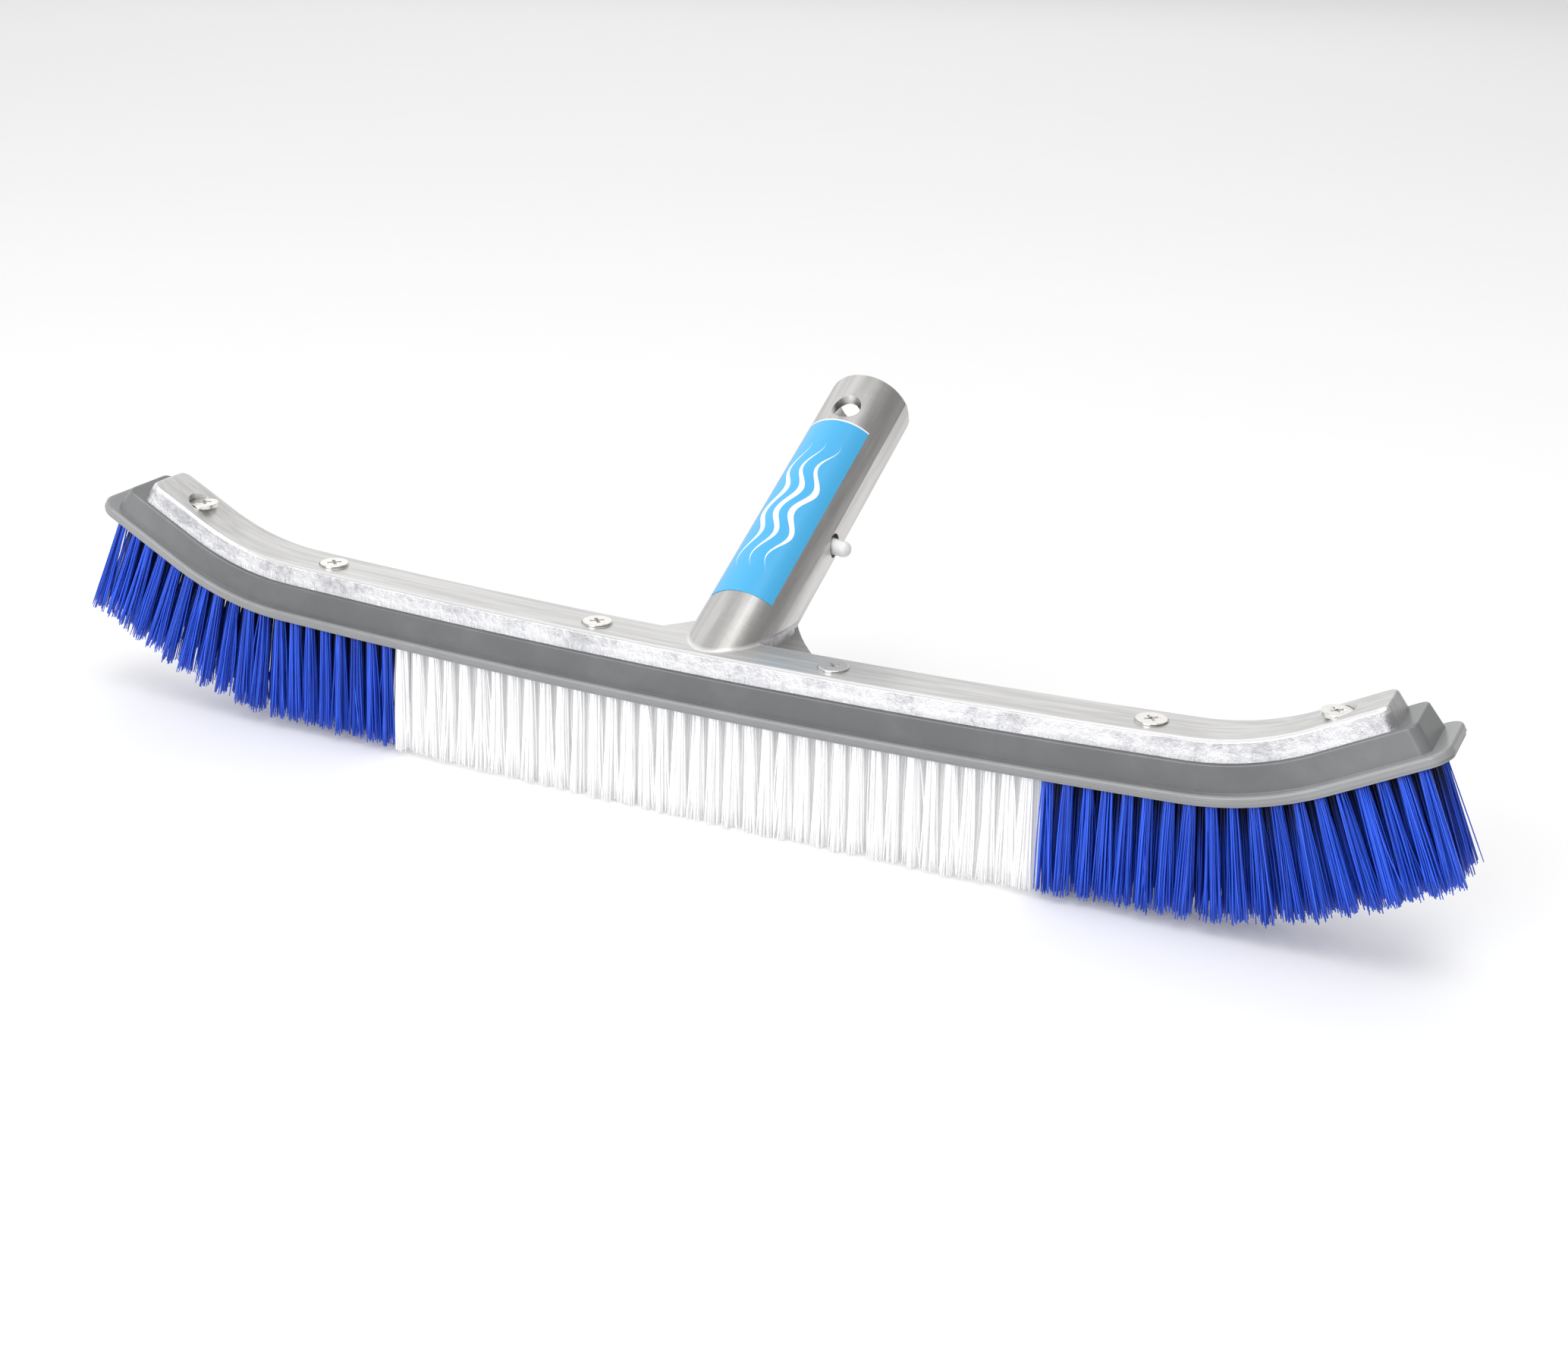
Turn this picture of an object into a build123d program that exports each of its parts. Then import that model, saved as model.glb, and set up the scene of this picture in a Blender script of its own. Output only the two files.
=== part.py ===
from build123d import *
import math
import os

# Wall brush head for swimming pools, in millimetres. X runs along the brush, +Y to the back, where the handle
# socket leans, and +Z up. The origin is the tip of the middle tuft, the point that the brush stands on.

# The brush's curve, followed by every layer: a long shallow arc, a tight bend at each end, then a straight end.
middle_radius = 3333.0
middle_half_run = 151.5
bend_radius = 95.0
bend_angle = 25.2

# Bristles, in rows across the block
bristle_length = 36.6
tuft_pitch = 5.92
row_pitch = 4.75
row_names = ("front", "second", "middle", "fourth", "back")
tufts_each_side_of_middle = 37
white_tufts_each_side = 18
tuft_base_radius = 1.65
tuft_tip_radius = 2.3
tuft_lean_share = 0.8
tuft_hole_depth = 6.4
staple_thickness = 0.35
staple_height = 1.6
staple_bite = 0.3

# Moulded brush block: a drafted body on a flange with a lower lip
flange_half_width = 14.0
flange_thickness = 2.4
flange_half_run = 228.2
flange_corner_radius = 6.0
flange_edge_radius = 0.9
lip_thickness = 1.0
lip_inset = 0.5
body_half_width = 11.7
body_top_half_width = 10.6
body_height = 8.3
body_half_run = 223.0
body_end_draft = 9.0
body_corner_radius = 3.2
body_edge_radius = 0.8

# Cast back bar
bar_half_width = 9.8
bar_top_half_width = 8.75
bar_thickness = 6.4
bar_half_run = 216.2
bar_end_draft = 6.0
bar_corner_radius = 3.2
bar_edge_radius = 1.1

# Handle socket, cast in one with the bar
socket_tilt = 63.0
socket_radius = 14.3
socket_wall = 2.6
socket_axis_y = 25.2
socket_root = -28.4
socket_length = 105.7
bore_floor = -11.0
mouth_edge_radius = 1.1
fillet_at_bar = 1.2
side_flat_depth = 0.55
foot_gap = 0.4
web_thickness = 2.5
web_foot_half_width = 33.0
web_waist_half_width = 20.0
web_tip_half_width = 11.0
web_tip_y = 38.6
skirt_half_width = 14.5
skirt_draft = 5.0
skirt_straight_y = 28.0
skirt_nose_y = 41.0
bolt_hole_radius = 4.85
bolt_hole_place = 88.8
latch_hole_radius = 4.0
latch_hole_place = 38.3

# Self-tapping screws, all driven straight down
screw_places = (40.3, 138.6, 190.0)
screw_head_radius = 4.65
screw_rim_height = 1.2
screw_cone_height = 2.1
screw_shank_radius = 2.1
screw_length = 14.5
screw_point_length = 3.0
screw_proud = 0.75
head_hole_clearance = 0.4
shank_hole_clearance = 0.4
seat_clearance = 0.03
recess_width = 1.1
recess_reach = 4.6
recess_depth = 1.5
recess_angle = 42.0
tuft_to_screw_wall = 0.8

# Printed label round the front of the socket
label_start = -1.0
label_length = 82.7
label_half_angle = 46.0
label_thickness = 0.15
label_gap = 0.02

# Spring clip: a bridge and two legs, each with its latch pin
hinge_to_pin = 43.7
hinge_half_spacing = 3.3
leg_angle = 7.0
pressed_leg_angle = 1.5
leg_half_thickness = 1.5
leg_half_width = 2.5
knuckle_gap = 0.3
bridge_edge_radius = 0.9
leg_edge_radius = 1.0
collar_reach = 3.8
collar_half_length = 3.6
collar_corner_radius = 1.2
pin_radius = 2.65
pin_reach = 11.45
pin_dome_radius = 2.6

bend_run = math.radians(bend_angle) * bend_radius
tip_height = bristle_length + flange_thickness + lip_thickness
seat_lift = body_height
bar_top_lift = body_height + bar_thickness


def profile_plane(distance, across=0.0, lift=0.0):
    """Plane on the brush's curve: X along the curve, Y across the brush, Z square to the curve and up.

    distance is measured along the curve from the middle, lift from the line where block body and flange meet.
    """
    run = abs(distance)
    side = math.copysign(1.0, distance)
    first = min(run, middle_half_run) / middle_radius
    second = min(max(run - middle_half_run, 0.0), bend_run) / bend_radius
    straight = max(run - middle_half_run - bend_run, 0.0)
    turned = first + second
    x = middle_radius * math.sin(first) + bend_radius * (math.sin(turned) - math.sin(first))
    z = middle_radius * (1 - math.cos(first)) + bend_radius * (math.cos(first) - math.cos(turned))
    x = side * (x + straight * math.cos(turned) - lift * math.sin(turned))
    z = tip_height + z + straight * math.sin(turned) + lift * math.cos(turned)
    slope = side * turned
    along = (math.cos(slope), 0, math.sin(slope))
    up = (-math.sin(slope), 0, math.cos(slope))
    return Plane(origin=(x, across, z), x_dir=along, z_dir=up)


def point(distance, lift):
    """Point on the brush's middle plane."""
    return profile_plane(distance, 0.0, lift).origin


def add_profile_path(half_run, lift):
    """Adds the brush's curve at one lift to the line being built, from the -X end to the +X end."""
    bend_end = middle_half_run + bend_run
    bend_middle = middle_half_run + bend_run / 2
    Line(point(-half_run, lift), point(-bend_end, lift))
    ThreePointArc(point(-bend_end, lift), point(-bend_middle, lift), point(-middle_half_run, lift))
    ThreePointArc(point(-middle_half_run, lift), point(0, lift), point(middle_half_run, lift))
    ThreePointArc(point(middle_half_run, lift), point(bend_middle, lift), point(bend_end, lift))
    Line(point(bend_end, lift), point(half_run, lift))


def section_plane(half_run, lift):
    """Plane square to the curve at its -X end: X across the brush, Y up."""
    start = profile_plane(-half_run, 0.0, lift)
    return Plane(origin=start.origin, x_dir=(0, 1, 0), z_dir=start.x_dir)


def end_cut(half_run, lift, draft, side):
    """Plane that trims one end with a draft, with its normal pointing out of the part."""
    frame = profile_plane(side * half_run, 0.0, lift)
    lean = math.radians(draft)
    normal = frame.x_dir * (side * math.cos(lean)) + frame.z_dir * math.sin(lean)
    return Plane(origin=frame.origin, z_dir=normal)


def drafted_strip(bottom, top, height, half_run, lift, draft, corner_radius, edge_radius):
    """Strip with drafted sides and ends that follows the curve, rounded at its corners and top edge."""
    overrun = half_run + height
    with BuildPart() as strip:
        with BuildLine() as path:
            add_profile_path(overrun, lift)
        with BuildSketch(section_plane(overrun, lift)):
            with BuildLine():
                Polyline((-bottom, 0), (bottom, 0), (top, height), (-top, height), close=True)
            make_face()
        sweep(path=path.wire())
        for side in (-1, 1):
            split(bisect_by=end_cut(half_run, lift, draft, side), keep=Keep.BOTTOM)
        inner = point(half_run - height, lift).X
        corners = [e for e in strip.edges() if is_corner(e, inner, top, height)]
        fillet(corners, corner_radius)
        if edge_radius:
            rim = [e for e in strip.edges() if is_rim(e, lift + height)]
            fillet(rim, edge_radius)
    return strip.part


def lift_of(place):
    """Lift of a point above the line where block body and flange meet, measured square to the curve."""
    middle_centre = point(0, middle_radius)
    bend_centre = point(middle_half_run, bend_radius)
    end = profile_plane(middle_half_run + bend_run)
    x = abs(place.X)
    if math.atan2(x, middle_centre.Z - place.Z) <= middle_half_run / middle_radius:
        return middle_radius - math.hypot(x, place.Z - middle_centre.Z)
    if (x - end.origin.X) * end.x_dir.X + (place.Z - end.origin.Z) * end.x_dir.Z <= 0:
        return bend_radius - math.hypot(x - bend_centre.X, place.Z - bend_centre.Z)
    return (x - end.origin.X) * end.z_dir.X + (place.Z - end.origin.Z) * end.z_dir.Z


def is_corner(edge, inner, top, height):
    """True for the four upright edges at the ends of a strip."""
    low, high = edge @ 0, edge @ 1
    upright = abs(lift_of(low) - lift_of(high)) > height * 0.8
    return upright and abs(edge.center().X) > inner and abs(edge.center().Y) > top / 2


def is_rim(edge, lift):
    """True for the edges round the top of a strip, leaving out the seams that cross it."""
    ends_on_top = abs(lift_of(edge @ 0) - lift) < 0.01 and abs(lift_of(edge @ 1) - lift) < 0.01
    crosses = edge.geom_type == GeomType.LINE and abs((edge % 0.5).Y) > 0.9
    seam = crosses and abs(edge.center().X) < point(middle_half_run + bend_run, lift).X + 1
    return ends_on_top and not seam


# Where the tufts stand: every second row is shifted by half a pitch, and the middle row leaves out the tufts
# that a screw would meet.
def tuft_distances(row):
    """Distances along the curve of one row's tufts."""
    shift = 0.5 * (row % 2)
    count = tufts_each_side_of_middle - row % 2
    steps = [step + shift for step in range(-tufts_each_side_of_middle, count + 1)]
    return [step * tuft_pitch for step in steps if not meets_screw(step * tuft_pitch, row_y(row))]


def row_y(row):
    """Place of a row across the brush."""
    return (row - (len(row_names) - 1) / 2) * row_pitch


def meets_screw(distance, across):
    """True where a tuft's hole would come too near a screw."""
    reach = screw_shank_radius + tuft_base_radius + tuft_to_screw_wall
    top = profile_plane(distance, across, tuft_hole_depth - flange_thickness - lip_thickness).origin
    mouth = profile_plane(distance, across, -flange_thickness - lip_thickness).origin
    low, high = sorted((abs(top.X), abs(mouth.X)))
    return abs(across) < reach and any(low - reach < place < high + reach for place in screw_places)


def tuft_plane(distance, across):
    """Plane at the underside of the lip with Z up one tuft, which leans a share of the block's own slope."""
    mouth = profile_plane(distance, across, -flange_thickness - lip_thickness)
    slope = math.atan2(mouth.x_dir.Z, mouth.x_dir.X) * tuft_lean_share
    up = (-math.sin(slope), 0, math.cos(slope))
    return Plane(origin=mouth.origin, x_dir=(math.cos(slope), 0, math.sin(slope)), z_dir=up)


def tuft_places(row, keep):
    """Planes of one row's tufts, for the distances that keep accepts."""
    return [tuft_plane(d, row_y(row)) for d in tuft_distances(row) if keep(d)]


white_reach = (white_tufts_each_side + 0.5) * tuft_pitch
colour_sections = {
    "blue_left": lambda distance: distance < -white_reach,
    "white": lambda distance: abs(distance) <= white_reach,
    "blue_right": lambda distance: distance > white_reach,
}

tuft_root_depth = tuft_hole_depth - staple_height

# One tuft: a tight bundle in its hole that flares towards the tips
with BuildPart() as tuft:
    with BuildSketch(Plane.XZ):
        with BuildLine():
            Polyline(
                (0, -bristle_length),
                (tuft_tip_radius, -bristle_length),
                (tuft_base_radius, 0),
                (tuft_base_radius, tuft_root_depth),
                (0, tuft_root_depth),
                close=True,
            )
        make_face()
    revolve(axis=Axis.Z)

# One anchor staple: a flat wire across the bottom of the hole, which bites its walls
with BuildPart() as staple:
    with Locations((0, 0, tuft_root_depth)):
        Box(
            2 * (tuft_base_radius + staple_bite),
            staple_thickness,
            staple_height,
            align=(Align.CENTER, Align.CENTER, Align.MIN),
        )


# Screw axes: vertical, placed by the height of the bar's top surface above each of them
def bar_top_height(x):
    """Height of the bar's top surface on the middle plane at one X."""
    low, high = 0.0, bar_half_run
    for _ in range(60):
        half = (low + high) / 2
        if point(half, bar_top_lift).X < x:
            low = half
        else:
            high = half
    return point(low, bar_top_lift).Z


screw_xs = [-x for x in reversed(screw_places)] + list(screw_places)
screw_tops = [Location((x, 0, bar_top_height(abs(x)) + screw_proud)) for x in screw_xs]

with BuildPart() as screw:
    with BuildSketch(Plane.XZ):
        cone_bottom = -screw_rim_height - screw_cone_height
        with BuildLine():
            Polyline(
                (0, 0),
                (screw_head_radius, 0),
                (screw_head_radius, -screw_rim_height),
                (screw_shank_radius, cone_bottom),
                (screw_shank_radius, -screw_length + screw_point_length),
                (0, -screw_length),
                close=True,
            )
        make_face()
    revolve(axis=Axis.Z)
    with BuildSketch(Plane.XY):
        Rectangle(recess_reach, recess_width, rotation=recess_angle)
        Rectangle(recess_width, recess_reach, rotation=recess_angle)
    extrude(amount=-recess_depth, taper=16, mode=Mode.SUBTRACT)
    fillet(screw.edges().filter_by(GeomType.CIRCLE).group_by(Axis.Z)[-1], 0.25)

# Room for a screw in the bar: an open countersink over a clearance hole
with BuildPart() as screw_room:
    head_room = screw_head_radius + head_hole_clearance
    shank_room = screw_shank_radius + shank_hole_clearance
    cone_slope = screw_cone_height / (screw_head_radius - screw_shank_radius)
    cone_floor = cone_bottom + cone_slope * (shank_room - screw_shank_radius) - seat_clearance
    cone_rim = cone_floor + cone_slope * (head_room - shank_room)
    with BuildSketch(Plane.XZ):
        with BuildLine():
            Polyline(
                (0, screw_length),
                (head_room, screw_length),
                (head_room, cone_rim),
                (shank_room, cone_floor),
                (shank_room, -screw_length),
                (0, -screw_length),
                close=True,
            )
        make_face()
    revolve(axis=Axis.Z)

with BuildPart() as pilot_hole:
    Cylinder(
        screw_shank_radius,
        screw_length,
        align=(Align.CENTER, Align.CENTER, Align.MAX),
    )

# Handle socket frames: its axis leaves the bar's top level behind the bar and leans back
tilt = math.radians(socket_tilt)
socket_axis = Vector(0, math.sin(tilt), math.cos(tilt))
socket_front = Vector(0, -math.cos(tilt), math.sin(tilt))
socket_base = Vector(0, socket_axis_y, tip_height + bar_top_lift)
bore_radius = socket_radius - socket_wall
foot_height = tip_height + seat_lift + foot_gap


def socket_plane(place):
    """Plane square to the socket's axis, a distance up it from the bar's top level."""
    return Plane(origin=socket_base + socket_axis * place, x_dir=(1, 0, 0), z_dir=socket_axis)


# The socket, the skirt that carries its sides down to the foot, and the webs that brace it to the bar
with BuildPart() as socket:
    with BuildSketch(socket_plane(socket_root)):
        Circle(socket_radius)
    extrude(amount=socket_length - socket_root)
    fillet(socket.edges().sort_by(Axis(socket_base, socket_axis))[-1], mouth_edge_radius)
    split(bisect_by=Plane.XY.offset(foot_height), keep=Keep.TOP)

with BuildPart() as skirt:
    with BuildSketch(Plane.XY.offset(foot_height)):
        with BuildLine():
            ThreePointArc(
                (skirt_half_width, skirt_straight_y),
                (0, skirt_nose_y),
                (-skirt_half_width, skirt_straight_y),
            )
            Polyline(
                (-skirt_half_width, skirt_straight_y),
                (-skirt_half_width, 0),
                (skirt_half_width, 0),
                (skirt_half_width, skirt_straight_y),
            )
        make_face()
    extrude(amount=socket_radius, taper=skirt_draft)
    split(bisect_by=Plane(origin=socket_base, x_dir=(1, 0, 0), z_dir=socket_front), keep=Keep.BOTTOM)

with BuildPart() as web:
    with BuildSketch(Plane.XY.offset(foot_height)):
        with BuildLine():
            Polyline(
                (web_tip_half_width, web_tip_y),
                (-web_tip_half_width, web_tip_y),
            )
            ThreePointArc(
                (-web_tip_half_width, web_tip_y),
                (-web_waist_half_width, (web_tip_y + bar_half_width) / 2),
                (-web_foot_half_width, bar_top_half_width),
            )
            Polyline(
                (-web_foot_half_width, bar_top_half_width),
                (-web_foot_half_width, 0),
                (web_foot_half_width, 0),
                (web_foot_half_width, bar_top_half_width),
            )
            ThreePointArc(
                (web_foot_half_width, bar_top_half_width),
                (web_waist_half_width, (web_tip_y + bar_half_width) / 2),
                (web_tip_half_width, web_tip_y),
            )
        make_face()
    extrude(amount=web_thickness)


def is_socket_seam(edge):
    """True for the curve where the front of the socket meets the top of the bar."""
    on_top = abs(lift_of(edge.center()) - bar_top_lift) < 0.4
    in_front = max((edge @ 0).Y, (edge @ 1).Y) < bar_half_width
    return on_top and in_front and edge.geom_type == GeomType.BSPLINE and abs(edge.center().X) < 1.0


bar_blank = drafted_strip(
    bar_half_width,
    bar_top_half_width,
    bar_thickness,
    bar_half_run,
    seat_lift,
    bar_end_draft,
    bar_corner_radius,
    bar_edge_radius,
)

with BuildPart() as back_casting:
    add(bar_blank)
    add(socket.part)
    add(skirt.part)
    add(web.part)
    seam = [e for e in back_casting.edges() if is_socket_seam(e)]
    fillet(seam, fillet_at_bar)
    # bore for the clip, open through the foot
    with BuildSketch(socket_plane(bore_floor)):
        Circle(bore_radius)
    extrude(amount=socket_length - bore_floor, mode=Mode.SUBTRACT)
    # bolt hole near the mouth, straight down through both walls
    bolt_centre = socket_base + socket_axis * bolt_hole_place + socket_front * socket_radius
    with BuildSketch(Plane.XY.offset(bolt_centre.Z + socket_radius)):
        with Locations((bolt_centre.X, bolt_centre.Y)):
            Circle(bolt_hole_radius)
    extrude(amount=-4 * socket_radius, mode=Mode.SUBTRACT)
    # cross hole for the latch pins
    latch_centre = socket_base + socket_axis * latch_hole_place
    with BuildSketch(Plane(origin=latch_centre, z_dir=(1, 0, 0))):
        Circle(latch_hole_radius)
    extrude(amount=2 * socket_radius, both=True, mode=Mode.SUBTRACT)
    # flats down both sides of the socket, from the mouth to the cross hole
    flat_length = socket_length - latch_hole_place
    for side in (-1, 1):
        flat_middle = socket_plane(latch_hole_place + flat_length / 2)
        centre = flat_middle.origin + Vector(side * (2 * socket_radius - side_flat_depth), 0, 0)
        flat_frame = Plane(origin=centre, x_dir=(1, 0, 0), z_dir=socket_axis)
        with Locations(flat_frame):
            Box(2 * socket_radius, 2 * socket_radius, flat_length, mode=Mode.SUBTRACT)
    with Locations(*screw_tops):
        add(screw_room.part, mode=Mode.SUBTRACT)
back_casting.part.label = "back_casting"

body_blank = drafted_strip(
    body_half_width,
    body_top_half_width,
    body_height,
    body_half_run,
    0.0,
    body_end_draft,
    body_corner_radius,
    body_edge_radius,
)
flange_blank = drafted_strip(
    flange_half_width,
    flange_half_width - 0.1,
    flange_thickness,
    flange_half_run,
    -flange_thickness,
    2.0,
    flange_corner_radius,
    flange_edge_radius,
)
lip_blank = drafted_strip(
    flange_half_width - lip_inset,
    flange_half_width - lip_inset + 0.02,
    lip_thickness,
    flange_half_run - lip_inset,
    -flange_thickness - lip_thickness,
    0.0,
    flange_corner_radius - lip_inset,
    0,
)

with BuildPart() as brush_block:
    add(flange_blank)
    add(lip_blank)
    add(body_blank)
    with Locations(*screw_tops):
        add(pilot_hole.part, mode=Mode.SUBTRACT)
brush_block.part.label = "brush_block"

# Printed label, a thin skin round the front of the socket
with BuildPart() as label:
    inner = socket_radius + label_gap
    outer = inner + label_thickness
    with BuildSketch(socket_plane(label_start)):
        with BuildLine():
            CenterArc((0, 0), inner, -90 - label_half_angle, 2 * label_half_angle)
            CenterArc((0, 0), outer, -90 - label_half_angle, 2 * label_half_angle)
            for side in (-1, 1):
                edge_angle = math.radians(-90 + side * label_half_angle)
                spoke = (math.cos(edge_angle), math.sin(edge_angle))
                Line((spoke[0] * inner, spoke[1] * inner), (spoke[0] * outer, spoke[1] * outer))
        make_face()
    extrude(amount=label_length)
label.part.label = "label"

# Spring clip, laid out in the socket's middle plane: X across, Y up the socket, Z to its front.
# Each pin is square to its leg. The right leg is fully out, and the left one sits pressed in.
pin_on_leg_x = hinge_half_spacing + hinge_to_pin * math.sin(math.radians(leg_angle))
wall_middle = socket_radius - socket_wall / 2
pin_drop = (wall_middle - pin_on_leg_x) * math.tan(math.radians(leg_angle))
hinge_place = latch_hole_place - hinge_to_pin * math.cos(math.radians(leg_angle)) + pin_drop / 2
clip_plane = Plane(
    origin=socket_base + socket_axis * hinge_place, x_dir=(1, 0, 0), z_dir=socket_front
)
bridge_outer = hinge_half_spacing + leg_half_thickness
bridge_inner = hinge_half_spacing - leg_half_thickness
knuckle_radius = leg_half_thickness + knuckle_gap

with BuildPart() as clip_bridge:
    with BuildSketch(clip_plane):
        Circle(bridge_outer)
        Circle(bridge_inner, mode=Mode.SUBTRACT)
        with Locations((0, bridge_outer / 2)):
            Rectangle(2 * bridge_outer, bridge_outer, mode=Mode.SUBTRACT)
        with Locations((-hinge_half_spacing, 0), (hinge_half_spacing, 0)):
            Circle(knuckle_radius, mode=Mode.SUBTRACT)
    extrude(amount=leg_half_width, both=True)
clip_bridge.part.label = "clip_bridge"


def clip_leg(side, angle):
    """One leg of the clip at an angle to the socket's axis: knuckle, leg, collar and latch pin."""
    lean = math.radians(angle)
    hinge = clip_plane.from_local_coords((side * hinge_half_spacing, 0, 0))
    up_leg = clip_plane.y_dir * math.cos(lean) + clip_plane.x_dir * (side * math.sin(lean))
    outward = clip_plane.x_dir * (side * math.cos(lean)) - clip_plane.y_dir * math.sin(lean)
    leg_plane = Plane(origin=hinge, x_dir=outward, z_dir=outward.cross(up_leg))
    pin_start = hinge + up_leg * hinge_to_pin
    foot = hinge_to_pin + collar_half_length
    with BuildPart() as leg:
        with BuildSketch(leg_plane):
            Circle(leg_half_thickness)
            with Locations((0, foot / 2)):
                Rectangle(2 * leg_half_thickness, foot)
        extrude(amount=leg_half_width, both=True)
        fillet(leg.edges().filter_by(Axis(hinge, up_leg)), leg_edge_radius)
        collar_plane = Plane(origin=pin_start, x_dir=up_leg, z_dir=outward)
        with BuildSketch(collar_plane):
            RectangleRounded(2 * collar_half_length, 2 * collar_reach, collar_corner_radius)
        extrude(amount=leg_half_thickness)
        with BuildSketch(collar_plane):
            Circle(pin_radius)
        extrude(amount=pin_reach)
        tip = leg.edges().sort_by(Axis(pin_start, outward))[-1]
        fillet(tip, pin_dome_radius)
    return leg.part


clip_leg_right = clip_leg(1, leg_angle)
clip_leg_left = clip_leg(-1, pressed_leg_angle)
clip_leg_right.label = "clip_leg_right"
clip_leg_left.label = "clip_leg_left"

os.makedirs("parts", exist_ok=True)
export_step(back_casting.part, "parts/back_casting.step")
export_step(brush_block.part, "parts/brush_block.step")
export_step(label.part, "parts/label.step")
export_step(clip_bridge.part, "parts/clip_bridge.step")
export_step(clip_leg_right, "parts/clip_leg_right.step")
export_step(clip_leg_left, "parts/clip_leg_left.step")

for number, place in enumerate(screw_tops, start=1):
    with BuildPart() as placed_screw:
        with Locations(place):
            add(screw.part)
    placed_screw.part.label = f"screw_{number}"
    export_step(placed_screw.part, f"parts/screw_{number}.step")

for row, row_name in enumerate(row_names):
    for colour, keep in colour_sections.items():
        with BuildPart() as tufts:
            with Locations(*tuft_places(row, keep)):
                add(tuft.part)
        tufts.part.label = f"tufts_{row_name}_{colour}"
        export_step(tufts.part, f"parts/tufts_{row_name}_{colour}.step")
    with BuildPart() as staples:
        with Locations(*tuft_places(row, lambda d: True)):
            add(staple.part)
    staples.part.label = f"staples_{row_name}"
    export_step(staples.part, f"parts/staples_{row_name}.step")
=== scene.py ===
import math

import bpy
import numpy as np
from mathutils import Matrix, Vector


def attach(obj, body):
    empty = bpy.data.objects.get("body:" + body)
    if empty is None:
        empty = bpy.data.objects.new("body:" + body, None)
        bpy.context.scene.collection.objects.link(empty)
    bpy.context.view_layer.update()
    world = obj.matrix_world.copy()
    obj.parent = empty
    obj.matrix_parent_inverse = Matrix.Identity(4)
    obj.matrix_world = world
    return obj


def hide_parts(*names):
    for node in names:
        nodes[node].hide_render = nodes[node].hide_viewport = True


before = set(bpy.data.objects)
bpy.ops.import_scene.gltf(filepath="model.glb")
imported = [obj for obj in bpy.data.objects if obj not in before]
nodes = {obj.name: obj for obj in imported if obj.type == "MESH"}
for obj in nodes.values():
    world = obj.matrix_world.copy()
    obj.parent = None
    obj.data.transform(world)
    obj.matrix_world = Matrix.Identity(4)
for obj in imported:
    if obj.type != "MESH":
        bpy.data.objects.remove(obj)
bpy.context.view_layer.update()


# Cast back: the bar, its webs and the handle socket are one gravity die casting in aluminium. The top is
# linished to a satin, the sides keep the die's mottled skin with file marks where the flash was cleaned off,
# and the socket is brushed round its axis.


def new_material(name):
    """Empty node material: returns it with its node tree, its shader and its texture coordinates."""
    material = bpy.data.materials.new(name)
    material.use_nodes = True
    tree = material.node_tree
    tree.nodes.clear()
    output = tree.nodes.new("ShaderNodeOutputMaterial")
    shader = tree.nodes.new("ShaderNodeBsdfPrincipled")
    tree.links.new(shader.outputs["BSDF"], output.inputs["Surface"])
    return material, tree, shader, tree.nodes.new("ShaderNodeTexCoord")


def wire(tree, kind, values=None, **settings):
    """Adds one node: settings are its properties, and values its inputs, each a socket or a number."""
    node = tree.nodes.new(kind)
    for key, value in settings.items():
        setattr(node, key, value)
    for key, value in (values or {}).items():
        if isinstance(value, bpy.types.NodeSocket):
            tree.links.new(value, node.inputs[key])
        else:
            node.inputs[key].default_value = value
    return node


def calc(tree, operation, *values):
    """One Math node on up to three sockets or numbers; returns its output."""
    return wire(tree, "ShaderNodeMath", dict(enumerate(values)), operation=operation).outputs[0]


def ramp(tree, value, low, high, to_low=0.0, to_high=1.0):
    """Smooth step: to_low where value is below low, to_high where it is above high."""
    settings = {"Value": value, "From Min": low, "From Max": high, "To Min": to_low, "To Max": to_high}
    return wire(tree, "ShaderNodeMapRange", settings, interpolation_type="SMOOTHSTEP").outputs[0]


def mix(tree, factor, first, second):
    """Mix of two colours; returns the colour socket."""
    node = wire(tree, "ShaderNodeMix", data_type="RGBA")
    for socket, value in ((node.inputs[0], factor), (node.inputs[6], first), (node.inputs[7], second)):
        if isinstance(value, bpy.types.NodeSocket):
            tree.links.new(value, socket)
        else:
            socket.default_value = value
    return node.outputs[2]


def new_effect(name, takes, gives):
    """Empty shader node group with named inputs (name: default) and outputs (name: socket type)."""
    group = bpy.data.node_groups.new(name, "ShaderNodeTree")
    for key, default in takes.items():
        kind = "NodeSocketVector" if default is None else "NodeSocketFloat"
        socket = group.interface.new_socket(name=key, in_out="INPUT", socket_type=kind)
        if default is not None:
            socket.default_value = default
    for key in gives:
        group.interface.new_socket(name=key, in_out="OUTPUT", socket_type="NodeSocketFloat")
    return group, group.nodes.new("NodeGroupInput").outputs, group.nodes.new("NodeGroupOutput").inputs


def use_effect(tree, group, values):
    """Places an effect in a material; returns its outputs."""
    node = wire(tree, "ShaderNodeGroup", node_tree=group)
    for key, value in values.items():
        if isinstance(value, bpy.types.NodeSocket):
            tree.links.new(value, node.inputs[key])
        else:
            node.inputs[key].default_value = value
    return node.outputs


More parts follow.
